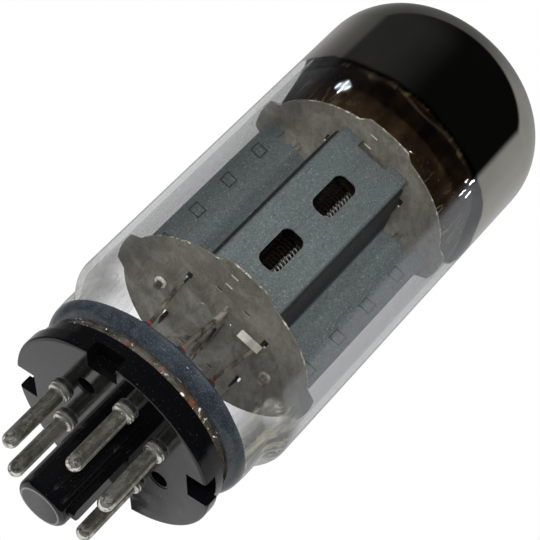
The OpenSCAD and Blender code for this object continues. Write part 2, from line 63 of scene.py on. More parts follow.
# Shader maths
class Value:
    """A number that runs through a shader; Python's arithmetic on it adds the Math nodes."""

    def __init__(self, finish, socket):
        self.finish = finish
        self.socket = socket

    def math(self, operation, first, second=0.0):
        made = self.finish.node("Math", {"operation": operation}, {0: first, 1: second})
        return Value(self.finish, made.outputs[0])

    def __add__(self, other):
        return self.math("ADD", self, other)

    __radd__ = __add__

    def __sub__(self, other):
        return self.math("SUBTRACT", self, other)

    def __rsub__(self, other):
        return self.math("SUBTRACT", other, self)

    def __mul__(self, other):
        return self.math("MULTIPLY", self, other)

    __rmul__ = __mul__

    def __truediv__(self, other):
        return self.math("DIVIDE", self, other)

    def __rtruediv__(self, other):
        return self.math("DIVIDE", other, self)

    def most(self, other):
        return self.math("MAXIMUM", self, other)

    def least(self, other):
        return self.math("MINIMUM", self, other)

    def __abs__(self):
        return self.math("ABSOLUTE", self)

    def ease(self, low, high, start=0.0, end=1.0):
        """Runs smoothly from start to end while this value goes from low to high."""
        made = self.finish.node(
            "MapRange",
            {"interpolation_type": "SMOOTHSTEP"},
            {"Value": self, "From Min": low, "From Max": high, "To Min": start, "To Max": end},
        )
        return Value(self.finish, made.outputs["Result"])


class Finish:
    """A node tree that is painted node by node: a material, or the room round the valve."""

    def __init__(self, owner):
        self.owner = owner
        owner.use_nodes = True
        self.tree = owner.node_tree
        self.tree.nodes.clear()

    def node(self, kind, settings=None, inputs=None):
        made = self.tree.nodes.new("ShaderNode" + kind)
        for name, value in (settings or {}).items():
            setattr(made, name, value)
        for name, value in (inputs or {}).items():
            if isinstance(value, Value):
                value = value.socket
            if isinstance(value, bpy.types.NodeSocket):
                self.tree.links.new(value, made.inputs[name])
            else:
                made.inputs[name].default_value = value
        return made

    def value(self, kind, settings=None, inputs=None, output=0):
        return Value(self, self.node(kind, settings, inputs).outputs[output])

    def place(self, stretch=(1, 1, 1)):
        spot = self.node("TexCoord").outputs["Object"]
        return self.node("Mapping", {}, {"Vector": spot, "Scale": stretch}).outputs[0]

    def point(self):
        """Place on the object as x, y and z, in millimetres."""
        parts = self.node("SeparateXYZ", {}, {"Vector": self.place()})
        return [Value(self, parts.outputs[name]) / MM for name in "XYZ"]

    def height(self):
        """Height along the valve, in millimetres."""
        return self.point()[2]

    def flat(self):
        """Place on the object with its height left out."""
        made = self.node("VectorMath", {"operation": "MULTIPLY"}, {0: self.place(), 1: (1, 1, 0)})
        return made.outputs[0]

    def radius(self):
        """Distance from the valve's axis, in millimetres."""
        return self.value("VectorMath", {"operation": "LENGTH"}, {0: self.flat()}, "Value") / MM

    def side(self, towards):
        """One on the side of the valve that looks the given way, minus one on the far side."""
        out = self.node("VectorMath", {"operation": "NORMALIZE"}, {0: self.flat()})
        return self.value(
            "VectorMath", {"operation": "DOT_PRODUCT"}, {0: out.outputs[0], 1: towards}, "Value"
        )

    def slant(self):
        """Nought where the surface looks straight at the viewer, one at its outline."""
        return self.value("LayerWeight", {}, {"Blend": 0.5}, "Facing")

    def noise(self, per_mm, detail=3.0, rough=0.5, stretch=(1, 1, 1), warp=0.0):
        return self.value(
            "TexNoise",
            {},
            {
                "Vector": self.place(stretch),
                "Scale": per_mm / MM,
                "Detail": detail,
                "Roughness": rough,
                "Distortion": warp,
            },
        )

    def mix(self, share, first, second):
        """Goes from the first colour to the second one."""
        made = self.node("Mix", {"data_type": "RGBA"}, {0: share, 6: first, 7: second})
        return made.outputs[2]

    def bump(self, height, depth_mm, strength):
        made = self.node(
            "Bump", {}, {"Height": height, "Distance": depth_mm * MM, "Strength": strength}
        )
        return made.outputs[0]

    def principled(self, **sockets):
        inputs = {name.replace("_", " "): value for name, value in sockets.items()}
        return self.node("BsdfPrincipled", {}, inputs)

    def show(self, shader, kind="OutputMaterial"):
        self.node(kind, {}, {"Surface": shader.outputs[0]})
        return self.owner


def rgb(r, g, b):
    return (r, g, b, 1.0)


def paint(name):
    return Finish(bpy.data.materials.new(name))


def heading(degrees):
    """The flat direction at an angle from +X."""
    turn = math.radians(degrees)
    return Vector((math.cos(turn), math.sin(turn), 0))


# Directions that finishes follow, and places in millimetres
SMOKED_SIDE = heading(22)
CLEAR_SIDE = heading(-163)
CAGE_TURN = math.radians(22.5)
COAT_EDGE = 60.9
NECK_TOP = 19.0
NECK_LOW = 13.5
SKIRT_TOP = 5.42
SPIGOT_END = -13.9
PIN_TIP = -8.9
PIN_COLLAR = -0.9
CRIMP_LOW = 27.0
CRIMP_STEP = 7.1
CRIMP_U = 13.3
CRIMP_HALF = 0.88
WALL_TOP = 12.0
PANEL_LOW = 30.0
PANEL_HIGH = 54.0
ABOVE_LOWER_MICA = 22.6
BELOW_UPPER_MICA = 53.4
MICA_RIM = 14.8

# Clear glass, on both of its skins
GLASS_GREY = rgb(0.40, 0.42, 0.44)
GLASS_ROUGH = 0.015


def cage_place(f):
    """Place across the cage's wings, and place out through its front panel."""
    x, y = f.point()[:2]
    across = x * math.cos(CAGE_TURN) + y * math.sin(CAGE_TURN)
    out = x * math.sin(CAGE_TURN) - y * math.cos(CAGE_TURN)
    return across, out


# Finishes
def base_plastic(side):
    """Black moulding with a little dust; its outer wall is duller, and the rim of the spigot's end
    has a painted highlight.
    """
    f = paint("black_phenolic_wall" if side else "black_phenolic")
    grain = f.noise(9, 4, 0.6)
    smudge = f.noise(0.22, 3, 0.6, warp=0.6).ease(0.42, 0.66)
    dust = f.noise(4.2, 1, 0.5).ease(0.70, 0.76)
    color = f.mix(dust * 0.3, rgb(0.0025, 0.0026, 0.003), rgb(0.10, 0.095, 0.085))
    out = f.radius()
    # Painted highlight: a pale ring on the rim of the spigot's end face.
    edge = out.ease(2.9, 3.05) * out.ease(3.3, 3.15)
    edge = edge * f.height().ease(SPIGOT_END, SPIGOT_END - 0.07)
    color = f.mix(edge * 0.6, color, rgb(0.45, 0.45, 0.45))
    return f.show(
        f.principled(
            Base_Color=color,
            Roughness=0.055 + smudge * 0.08 + dust * 0.3,
            IOR=1.42 if side else 1.56,
            Normal=f.bump(grain * 0.5 + f.noise(0.6, 2) * 0.5, 0.012, 0.22),
        )
    )


def pin_metal():
    """Dull plating, worn bright in streaks; its tip and collar are painted brighter as highlights.
    """
    f = paint("tarnished_tin")
    mottle = f.noise(1.1, 5, 0.7, warp=0.6)
    streak = f.noise(0.7, 3, 0.6, (1, 1, 0.15), 0.4)
    worn = (mottle * 0.55 + streak * 0.45).ease(0.42, 0.60)
    # Painted highlights: the tip and the collar are painted brighter.
    tip = f.height().ease(PIN_TIP, PIN_TIP - 1.9)
    collar = f.height().ease(PIN_COLLAR - 0.4, PIN_COLLAR)
    bright = (0.12 + worn * 0.42 + tip * mottle.ease(0.42, 0.55) + collar * 0.5).least(1.0)
    color = f.mix(bright, rgb(0.13, 0.128, 0.095), rgb(0.84, 0.83, 0.75))
    return f.show(
        f.principled(
            Base_Color=color,
            Metallic=0.85,
            Roughness=0.28 - bright * 0.14,
            Normal=f.bump(mottle * 0.5 + f.noise(4.5, 2, 0.6) * 0.5, 0.008, 0.2),
        )
    )


def stem_glass():
    """Glass painted dark blue-grey for the black base seen through it, lighter at its top as a
    painted highlight, scratched across its bulge; the skirt below it is clear and golden, with
    painted glints.
    """
    f = paint("pressed_glass")
    cloud = f.noise(0.3, 4, 0.65, warp=0.8).ease(0.35, 0.7)
    scratch = f.noise(5.0, 3, 0.75).ease(0.50, 0.72)
    # Painted highlight: the top of the bulge is painted lighter.
    high = f.height().ease(6.6, 8.2)
    # Painted: the bulge's dark blue-grey stands for the black base seen through the glass.
    color = f.mix(cloud, rgb(0.015, 0.020, 0.026), rgb(0.034, 0.043, 0.052))
    color = f.mix(scratch * 0.5, color, rgb(0.14, 0.155, 0.17))
    color = f.mix(high * 0.18, color, rgb(0.14, 0.16, 0.18))
    skirt = f.height().ease(SKIRT_TOP, SKIRT_TOP - 0.12)
    amber = f.noise(0.8, 4, 0.7, (1, 1, 0.4), 0.8).ease(0.42, 0.62)
    amber = amber * f.side(SMOKED_SIDE).ease(-0.7, 0.7, 0.2, 1)
    # Painted glints: pale specks on the skirt, which stand for its small highlights.
    painted_glint = f.noise(0.9, 3, 0.6, warp=0.6).ease(0.61, 0.67)
    pale = f.noise(0.5, 4, 0.7, warp=0.5).ease(0.35, 0.65)
    gold = f.mix(pale, rgb(0.04, 0.038, 0.033), rgb(0.26, 0.25, 0.22))
    gold = f.mix(amber, gold, rgb(0.20, 0.13, 0.06))
    gold = f.mix(painted_glint, gold, rgb(0.85, 0.84, 0.76))
    return f.show(
        f.principled(
            Base_Color=f.mix(skirt, color, gold),
            Roughness=0.16,
            IOR=1.36,
            Alpha=1 - skirt * (1 - painted_glint) * 0.72,
            Coat_Weight=0.12,
            Coat_Roughness=0.04,
            Normal=f.bump(cloud * 0.3 + scratch * 0.3 + f.noise(1.2, 2) * 0.4, 0.02, 0.2),
        )
    )


def film_cloud(f):
    """Slow unevenness of the film, in its tint and along its edge."""
    return f.noise(0.16, 3, 0.6, (1, 1, 0.5))


def film_color(f):
    """The film's warm grey, as it looks from outside."""
    return f.mix(film_cloud(f).ease(0.3, 0.7), rgb(0.39, 0.385, 0.34), rgb(0.44, 0.43, 0.385))


def coat_edge(f, softness):
    """Runs from none to one over the lower edge of the getter's film, which is not level."""
    low = f.side(SMOKED_SIDE).ease(0.86, 1.0) * 2.4
    high = f.side(CLEAR_SIDE).ease(0.94, 1.0) * 6.0
    height = f.height() + (film_cloud(f) - 0.5) * 1.6 + low - high
    return height.ease(COAT_EDGE - softness, COAT_EDGE + softness)


def bulb_glass():
    """Clear skin, greyer where it is seen at a slant, with a painted dark outline and with pale
    streaks at the neck painted as a reflection there.

    Above the film's edge it shows the film itself, which lies on its inside, out to its outline.
    """
    f = paint("bulb_glass")
    slant = f.slant()
    rim = slant.ease(0.83, 0.95)
    streak = f.noise(0.5, 4, 0.7, (1, 1, 0.3), 1.0).ease(0.45, 0.62)
    neck = f.height().ease(NECK_TOP, NECK_LOW)
    smoke = f.side(SMOKED_SIDE).ease(-0.1, 0.75)
    cover = slant.ease(0.25, 0.55, 0.03, 0.27) + slant.ease(0.6, 0.8) * 0.1 + rim * 0.4
    cover = cover + smoke * (slant.ease(0.1, 0.35) * 0.03 + slant.ease(0.45, 0.65) * 0.06)
    cover = cover + neck * smoke * (0.26 + slant.ease(0.2, 0.6) * 0.39)
    # Streaks at the neck, which stand for a reflection there, raise its cover.
    cover = cover + neck * (0.03 + streak * 0.2)
    film = coat_edge(f, 0.5)
    haze = smoke * slant.ease(0.65, 0.4)
    clear = f.mix(haze, GLASS_GREY, rgb(0.72, 0.74, 0.78))
    # Painted shade: the skin is painted dark at its outline.
    clear = f.mix(rim, clear, rgb(0.10, 0.10, 0.11))
    # A painted reflection: pale streaks at the neck stand for a reflection on the glass there.
    neck_reflection_streaks = f.mix(streak, rgb(0.20, 0.20, 0.175), rgb(0.62, 0.60, 0.48))
    clear = f.mix(neck * 0.85, clear, neck_reflection_streaks)
    return f.show(
        f.principled(
            Base_Color=f.mix(film, clear, film_color(f)),
            Metallic=1.0,
            Roughness=GLASS_ROUGH + film * 0.01 + neck * 0.06,
            Alpha=cover.most(film).least(1.0),
        )
    )


def bulb_glass_inner():
    """The bulb's inner skin, which is gone where the film covers it."""
    f = paint("bulb_glass_inner")
    cover = f.slant().ease(0.25, 0.55, 0.04, 0.27) * (1 - coat_edge(f, 1.0))
    return f.show(
        f.principled(Base_Color=GLASS_GREY, Metallic=1.0, Roughness=GLASS_ROUGH, Alpha=cover)
    )


def getter_mirror(inside):
    """The film: a warm mirror from outside, sooty brown from inside, with golden streaks and
    sparkles painted on it as reflections.
    """
    f = paint("getter_mirror_inner" if inside else "getter_mirror_outer")
    crinkle = f.noise(0.55, 3, 0.6, (1, 1, 0.35), 1.2)
    if inside:
        cloud = film_cloud(f).ease(0.3, 0.7)
        dark = f.noise(0.22, 2, 0.5, (1, 1, 0.5)).ease(0.40, 0.62)
        thread = f.noise(1.1, 2, 0.6, (1, 1, 0.12), 0.5).ease(0.62, 0.70)
        # Painted reflections: golden streaks and sparkles high in the dome stand for what the inner
        # film reflects.
        painted_gold_streak = (crinkle.ease(0.58, 0.66) + thread).least(1.0) * f.height().ease(79.0, 66.0)
        painted_sparkle = f.noise(2.6, 1, 0.5).ease(0.70, 0.76) * f.height().ease(80.0, 70.0)
        color = f.mix(cloud, rgb(0.09, 0.054, 0.030), rgb(0.26, 0.16, 0.085))
        color = f.mix(dark * 0.7, color, rgb(0.018, 0.012, 0.007))
        color = f.mix((painted_gold_streak + painted_sparkle).least(1.0), color, rgb(0.85, 0.66, 0.34))
    else:
        color = film_color(f)
    return f.show(
        f.principled(
            Base_Color=color,
            Metallic=0.5 if inside else 1.0,
            Roughness=0.08 if inside else 0.025,
            Alpha=coat_edge(f, 0.8),
            Normal=f.bump(crinkle + f.noise(2.4, 2, 0.6) * 0.3, 0.05 if inside else 0.01, 0.3),
        )
    )


def seal_red():
    f = paint("seal_red")
    shade = f.noise(1.6, 3, 0.6).ease(0.35, 0.65)
    color = f.mix(shade, rgb(0.30, 0.015, 0.015), rgb(0.80, 0.07, 0.05))
    return f.show(
        f.principled(
            Base_Color=color,
            Roughness=0.25,
            Coat_Weight=1.0,
            Coat_Roughness=0.04,
            Normal=f.bump(shade, 0.03, 0.4),
        )
    )


def wire_metal(name, dark, light, rough, metal=0.6, per_mm=1.4):
    """Mottled metal between two shades; its dark places are duller."""
    f = paint(name)
    mottle = f.noise(per_mm, 4, 0.6, (1, 1, 0.25), 0.3)
    share = mottle.ease(0.36, 0.64)
    return f.show(
        f.principled(
            Base_Color=f.mix(share, rgb(*dark), rgb(*light)),
            Metallic=metal,
            Roughness=rough + (1 - share) * 0.15,
            Normal=f.bump(mottle, 0.02, 0.4),
        )
    )


def mica(rim):
    """Sprayed mica; its cut rim is paler, flaky and shiny, and so are the walls of its slots."""
    f = paint("mica_rim" if rim else "sprayed_mica")
    if rim:
        slots = f.radius().ease(MICA_RIM, MICA_RIM - 0.4)
        flake = f.noise(0.7, 4, 0.75, warp=0.5).ease(0.50, 0.62).most(slots)
        color = f.mix(flake, rgb(0.13, 0.125, 0.10), rgb(0.52, 0.51, 0.45))
        return f.show(f.principled(Base_Color=color, Roughness=0.5 - flake * 0.25))
    cloud = f.noise(0.22, 5, 0.62, warp=0.8).ease(0.38, 0.64)
    brush = f.noise(0.9, 4, 0.65, (1, 0.35, 1), 0.6).ease(0.42, 0.62)
    fleck = f.noise(2.6, 3, 0.7).ease(0.56, 0.70)
    grain = f.noise(4.2, 3, 0.7)
    color = f.mix(cloud, rgb(0.19, 0.172, 0.136), rgb(0.29, 0.283, 0.235))
    # Painted light: the mica is painted lighter towards SMOKED_SIDE, where more light falls on it.
    right = f.side(SMOKED_SIDE).ease(-0.2, 0.8)
    color = f.mix(right * 0.5, color, rgb(0.40, 0.385, 0.33))
    color = f.mix(brush * 0.5, color, rgb(0.14, 0.13, 0.10))
    color = f.mix(fleck * 0.55, color, rgb(0.045, 0.04, 0.033))
    color = f.mix(grain.ease(0.50, 0.72, 0, 0.5), color, rgb(0.38, 0.38, 0.35))
    return f.show(
        f.principled(
            Base_Color=color,
            Roughness=0.46 - cloud * 0.14,
            Normal=f.bump(grain * 0.6 + brush * 0.4 + cloud * 0.4, 0.04, 0.5),
        )
    )


def anode_sheet():
    """Dull blue-grey sheet with pale specks; painted shade makes its side walls near black, its
    front panel darker towards the top and the lines of its crimp marks dark.
    """
    f = paint("anode_sheet")
    grit = f.noise(3.4, 3, 0.75)
    speck = f.noise(3.9, 1, 0.5, warp=0.3).ease(0.62, 0.70)
    pit = f.noise(2.7, 1, 0.5).ease(0.36, 0.30)
    cloud = f.noise(0.13, 4, 0.6).ease(0.35, 0.65)
    brush = f.noise(0.55, 3, 0.6, (1, 1, 0.2)).ease(0.4, 0.62)
    color = f.mix(grit.ease(0.32, 0.68), rgb(0.082, 0.100, 0.100), rgb(0.142, 0.166, 0.166))
    color = f.mix(brush * 0.25 + cloud * 0.15, color, rgb(0.085, 0.092, 0.090))
    color = f.mix(speck * 0.6, color, rgb(0.27, 0.295, 0.30))
    color = f.mix(pit * 0.5, color, rgb(0.05, 0.055, 0.056))
    across, out = cage_place(f)
    out = abs(out)
    z = f.height()
    # Painted shade: the side walls are painted near black, as they stand in shade.
    wall = out.ease(0.9, 2.2) * out.ease(WALL_TOP, WALL_TOP - 0.4)
    color = f.mix(wall * 0.93, color, rgb(0.010, 0.010, 0.010))
    # Painted shade: the front panel is painted darker towards its top.
    panel = out.ease(WALL_TOP - 0.1, WALL_TOP) * z.ease(PANEL_LOW, PANEL_HIGH)
    color = f.mix(panel * 0.35, color, rgb(0.045, 0.052, 0.053))
    # Painted shade in the grooves of the crimp marks.
    color = f.mix(crimp_groove_shade(f, across, z) * 0.8, color, rgb(0.035, 0.038, 0.04))
    return f.show(
        f.principled(
            Base_Color=color,
            Roughness=0.55 - speck * 0.2,
            Specular_IOR_Level=0.35,
            Normal=f.bump(grit + f.noise(0.09, 2) * 3, 0.03, 0.45),
        )
    )


def crimp_groove_shade(f, across, z):
    """Painted shade in the pressed lines of the square crimp marks along both wings, front and
    back.
    """
    step = z.math("PINGPONG", z - CRIMP_LOW, CRIMP_STEP / 2)
    reach = abs(abs(across) - CRIMP_U).most(step)
    # The painted groove shade is made uneven along the lines.
    worn = f.noise(1.6, 2, 0.6).ease(0.3, 0.6, 0.35, 1.0)
    return abs(reach - CRIMP_HALF).ease(0.20, 0.07) * worn


def beam_sheet():
    """Sooty metal, nearly black."""
    f = paint("beam_sheet")
    cloud = f.noise(0.6, 3, 0.6).ease(0.4, 0.62)
    color = f.mix(cloud, rgb(0.004, 0.004, 0.0035), rgb(0.05, 0.038, 0.018))
    return f.show(f.principled(Base_Color=color, Roughness=0.35, Metallic=0.6))


def grid_wire():
    """Sooty wire with a painted highlight on one side of the rods that it is wound round."""
    f = paint("grid_wire")
    across, out = cage_place(f)
    across = across * out.math("SIGN", out)
    # Painted highlight on the turns beside the rods.
    bright = across.ease(0.75, 0.95) * across.ease(1.6, 1.35) * abs(out).ease(5.6, 6.2)
    color = f.mix(bright, rgb(0.020, 0.016, 0.009), rgb(0.92, 0.90, 0.80))
    return f.show(f.principled(Base_Color=color, Metallic=0.3, Roughness=0.3))


def between_micas(f):
    height = f.height()
    above = height.ease(ABOVE_LOWER_MICA, ABOVE_LOWER_MICA + 0.8)
    return above * height.ease(BELOW_UPPER_MICA, BELOW_UPPER_MICA - 0.8)


def side_rod():
    """Nickel, darker between the micas."""
    f = paint("side_rod")
    mottle = f.noise(0.8, 3, 0.6)
    color = f.mix(mottle.ease(0.4, 0.6), rgb(0.20, 0.18, 0.15), rgb(0.60, 0.57, 0.50))
    color = f.mix(between_micas(f), color, rgb(0.012, 0.010, 0.006))
    return f.show(f.principled(Base_Color=color, Metallic=0.6, Roughness=0.32))


def cathode_white():
    """White coat between the micas, bare dull metal beyond them."""
    f = paint("cathode_white")
    grain = f.noise(9, 3, 0.6)
    color = f.mix(grain.ease(0.35, 0.65), rgb(0.66, 0.64, 0.59), rgb(0.85, 0.84, 0.80))
    color = f.mix(1 - between_micas(f), color, rgb(0.21, 0.20, 0.17))
    return f.show(f.principled(Base_Color=color, Roughness=0.8, Normal=f.bump(grain, 0.03, 0.5)))


FINISHES = {
    "base_plastic": base_plastic(False),
    "pin_metal": pin_metal(),
    "stem_glass": stem_glass(),
    "bulb_glass": bulb_glass(),
    "getter_mirror": getter_mirror(False),
    "seal_red": seal_red(),
    "copper_wire": wire_metal("copper_wire", (0.34, 0.16, 0.08), (0.62, 0.34, 0.20), 0.3),
    "nickel_wire": wire_metal(
        "nickel_wire", (0.11, 0.10, 0.08), (0.44, 0.41, 0.35), 0.3, 0.6, 0.6
    ),
    "nickel_bright": wire_metal(
        "nickel_bright", (0.50, 0.49, 0.43), (0.92, 0.90, 0.82), 0.25, 0.3, 0.5
    ),
    "mica": mica(False),
    "anode_sheet": anode_sheet(),
    "dark_sheet": beam_sheet(),
    "grid_wire": grid_wire(),
    "copper_rod": wire_metal("copper_rod", (0.32, 0.17, 0.09), (0.56, 0.34, 0.21), 0.32),
    "cathode_white": cathode_white(),
    "getter_metal": wire_metal("getter_metal", (0.14, 0.12, 0.10), (0.36, 0.33, 0.28), 0.4),
}
inner_mirror = getter_mirror(True)
inner_glass = bulb_glass_inner()
mica_rim = mica(True)
rod_dark_between_micas = side_rod()
base_wall = base_plastic(True)


# Making pieces
WELD = 0.001
FLAT_ANGLE = math.radians(0.3)
EDGE_ANGLE = math.radians(35)


def only(piece):
    bpy.ops.object.select_all(action="DESELECT")
    piece.select_set(True)
    bpy.context.view_layer.objects.active = piece


def modified(piece, kind, **settings):
    only(piece)
    made = piece.modifiers.new(kind.title(), kind)
    for name, value in settings.items():
        setattr(made, name, value)
    bpy.ops.object.modifier_apply(modifier=made.name)


def fitted(piece, name, nodes, slot, smooth=35):
    """Gives a finished mesh its name, its finish and its place in the frame."""
    only(piece)
    piece.name = name
    piece.data.name = name
    bpy.ops.object.transform_apply(location=True, rotation=True, scale=True)
    bpy.ops.object.shade_smooth_by_angle(angle=math.radians(smooth))
    piece.data.materials.clear()
    piece.data.materials.append(FINISHES[slot])
    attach(piece, "root")
    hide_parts(*nodes)
    return piece


def flattened(piece):
    """Shades flat faces as flat, up to the rounding of their edges."""
    modified(piece, "WEIGHTED_NORMAL", keep_sharp=True)


def turned(outline, sides):
    """Turns an outline of (radius, height) in millimetres about the valve's axis, ring by ring."""
    r, z = outline[0]
    centre = Vector((0, 0, z)) * MM
    bpy.ops.object.select_all(action="DESELECT")
    bpy.ops.mesh.primitive_circle_add(
        vertices=sides, radius=r * MM, location=centre, fill_type="NGON"
    )
    bpy.ops.object.transform_apply(location=True, rotation=True, scale=True)
    piece = bpy.context.object
    bpy.ops.object.mode_set(mode="EDIT")
    bpy.ops.mesh.select_all(action="SELECT")
    bpy.ops.mesh.select_mode(type="FACE")
    for next_r, next_z in outline[1:]:
        bpy.ops.mesh.extrude_region_move()
        grow = next_r / r
        bpy.ops.transform.resize(value=(grow, grow, 1), center_override=centre)
        bpy.ops.transform.translate(value=(0, 0, (next_z - z) * MM))
        r, z = next_r, next_z
    bpy.ops.mesh.select_all(action="SELECT")
    bpy.ops.mesh.normals_make_consistent(inside=False)
    bpy.ops.object.mode_set(mode="OBJECT")
    return piece


def carried(node, name, slot, bevel=0.0, segments=2, smooth=35):
    """A piece that is a welded copy of a solid, with its edges rounded."""
    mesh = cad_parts[node].data.copy()
    piece = bpy.data.objects.new(node + "_copy", mesh)
    scene.collection.objects.link(piece)
    only(piece)
    bpy.ops.mesh.customdata_custom_splitnormals_clear()
    bpy.ops.object.mode_set(mode="EDIT")
    bpy.ops.mesh.select_all(action="SELECT")
    bpy.ops.mesh.remove_doubles(threshold=WELD * MM)
    bpy.ops.mesh.dissolve_limited(angle_limit=FLAT_ANGLE)
    bpy.ops.object.mode_set(mode="OBJECT")
    if bevel:
        modified(
            piece,
            "BEVEL",
            width=bevel * MM,
            segments=segments,
            limit_method="ANGLE",
            angle_limit=EDGE_ANGLE,
            use_clamp_overlap=True,
        )
    return fitted(piece, name, [node], slot, smooth)


def wire_ring(points, radius):
    """A flat closed ring of round wire through points of x and y in millimetres."""
    curve = bpy.data.curves.new("wire", "CURVE")
    curve.dimensions = "3D"
    curve.bevel_depth = radius * MM
    curve.bevel_resolution = 1
    line = curve.splines.new("POLY")
    line.points.add(len(points) - 1)
    for point, (x, y) in zip(line.points, points):
        point.co = (x * MM, y * MM, 0, 1)
    line.use_cyclic_u = True
    piece = bpy.data.objects.new("wire", curve)
    scene.collection.objects.link(piece)
    only(piece)
    bpy.ops.object.convert(target="MESH")
    return bpy.context.object


def joined(pieces):
    only(pieces[0])
    for piece in pieces:
        piece.select_set(True)
    bpy.ops.object.join()
    return pieces[0]


def repeated(piece, places):
    """Copies of a piece, each moved by x, y and z in millimetres and turned about +Z."""
    made = []
    for x, y, z, turn in places:
        copy = piece.copy()
        copy.data = piece.data.copy()
        scene.collection.objects.link(copy)
        turning = Matrix.Rotation(math.radians(turn), 4, "Z")
        copy.data.transform(Matrix.Translation(Vector((x, y, z)) * MM) @ turning)
        made.append(copy)
    bpy.data.objects.remove(piece)
    return made


def refaced(piece, finish, chosen):
    """Gives the chosen faces of a piece a second finish."""
    piece.data.materials.append(finish)
    for face in piece.data.polygons:
        if chosen(face):
            face.material_index = 1


def arc(x, z, r, start, end, steps):
    """Points of an arc in an outline; angles in degrees from outwards to upwards."""
    turns = [math.radians(start + (end - start) * k / steps) for k in range(steps + 1)]
    return [(x + r * math.cos(a), z + r * math.sin(a)) for a in turns]


# Sizes shared with the solids, in millimetres
BULB_R = 18.44
NECK_R = 16.75
GLASS_T = 1.0
DOME_CORNER = 10.6
CROWN_R = 76.0
DOME_Z = 71.7
FUSE_Z = 7.6
SHOULDER = (11.6, 15.2)
WALL_MIDDLE = 40.0
FILM_LOW = 57.0
FILM_CORNER = 63.0
FILM_GAP = 0.03
FILM_T = 0.07
STEM_TOP = 8.4
STEM_FLOOR = 5.4
STEM_EDGE_R = 2.55
SKIRT_LOW = 3.9
TIP_R = 2.0
TIP_LOW = -6.0
SEAL_RING = 13.55
SEAL_R = 0.5
PLUG_WALL_R = 14.0
PIN_NUMBERS = (2, 3, 4, 5, 7, 8)
PIN_RING = 8.725
PIN_R = 1.18
SHANK_R = 1.36
COLLAR_R = 1.62
ROD_LOW = 19.4
ROD_HIGH = 54.8
WIRE_R = 0.075
WINDING_LOW = 24.47
WINDING_STEP = 0.67
WINDING_TURNS = 41
BULB_SIDES = 128


def cage(u, v):
    """A flat place in the electrode cage: u across the wings, v out through the front panel."""
    return (
        u * math.cos(CAGE_TURN) + v * math.sin(CAGE_TURN),
        u * math.sin(CAGE_TURN) - v * math.cos(CAGE_TURN),
    )


def dome_outline(inset):
    """Corner and crown of the dome, from its side to its middle."""
    corner = BULB_R - DOME_CORNER
    reach = CROWN_R - DOME_CORNER
    rise = math.sqrt(reach * reach - corner * corner)
    lean = math.degrees(math.atan2(rise, corner))
    side = arc(corner, DOME_Z, DOME_CORNER - inset, 0, lean, 20)
    crown = arc(0, DOME_Z - rise, CROWN_R - inset, lean, 89.8, 9)
    return side + crown[1:]


def bulb_outline(inset):
    """Neck, shoulder, side and dome of the bulb, or of a skin that lies inside it."""
    low, high = SHOULDER
    start = NECK_R + 0.05 - inset
    points = [(start - 0.1, FUSE_Z), (start, FUSE_Z + 1.4)]
    for k in range(13):
        way = (1 - math.cos(math.pi * k / 12)) / 2
        points.append((start + (BULB_R - NECK_R - 0.05) * way, low + (high - low) * k / 12))
    points.append((BULB_R - inset, WALL_MIDDLE))
    return points + dome_outline(inset)


# Glass
def looks_inwards(face):
    """Whether a face of the bulb, or of its film, looks at the middle of the bulb."""
    away = Vector(face.center)
    away.z = max(0.0, away.z - DOME_Z * MM)
    return face.normal.dot(away) < 0


def make_bulb():
    outline = list(reversed(bulb_outline(GLASS_T))) + bulb_outline(0)
    piece = turned(outline, BULB_SIDES)
    fitted(piece, "blown_bulb", ["glass_bulb"], "bulb_glass", 60)
    refaced(piece, inner_glass, looks_inwards)


def make_mirror():
    walls = []
    for inset in (GLASS_T + FILM_GAP + FILM_T, GLASS_T + FILM_GAP):
        side = BULB_R - inset
        walls.append([(side, FILM_LOW), (side, FILM_CORNER)] + dome_outline(inset))
    piece = turned(list(reversed(walls[0])) + walls[1], BULB_SIDES)
    fitted(piece, "getter_film", ["mirror_coat"], "getter_mirror", 60)
    refaced(piece, inner_mirror, looks_inwards)


def make_stem():
    """The disc with its bulging edge, its skirt and its exhaust tip, and a cone round each seal."""
    wall = NECK_R - 1.2
    skirt = NECK_R - 1.9
    inner = skirt - 0.7
    outline = [(1.0, STEM_TOP), (wall - 0.05, STEM_TOP), (wall, STEM_TOP - 0.05), (wall, FUSE_Z)]
    outline += arc(NECK_R - 0.05 - STEM_EDGE_R, FUSE_Z, STEM_EDGE_R, 0, -62, 14)
    outline += [(skirt + 0.1, STEM_FLOOR), (skirt, STEM_FLOOR - 0.1), (skirt, SKIRT_LOW + 0.1)]
    outline += [(skirt - 0.1, SKIRT_LOW), (inner + 0.1, SKIRT_LOW), (inner, SKIRT_LOW + 0.1)]
    outline += [(inner, STEM_FLOOR - 0.1), (inner - 0.1, STEM_FLOOR), (TIP_R + 0.3, STEM_FLOOR)]
    outline += [(TIP_R + 0.08, STEM_FLOOR - 0.1), (TIP_R, STEM_FLOOR - 0.4), (TIP_R, TIP_LOW)]
    outline += arc(0, TIP_LOW, TIP_R, 0, -82, 8)
    above = [(0.3, 7.9), (1.75, 8.3), (1.2, 8.7), (0.85, 9.2), (0.72, 9.45), (0.3, 9.5)]
    below = [(0.3, 5.9), (1.3, 5.5), (0.95, 5.1), (0.66, 4.85), (0.3, 4.8)]
    parts = [turned(outline, 96)]
    for cone in (above, below):
        parts += repeated(turned(cone, 24), seal_places())
    fitted(joined(parts), "pressed_stem", ["glass_stem"], "stem_glass", 50)


def seal_places():
    front = [-91.5, -67.5, -43.5]
    turns = [math.radians(a) for a in front + [a + 180 for a in front]]
    return [(SEAL_RING * math.cos(a), SEAL_RING * math.sin(a), 0, 0) for a in turns]


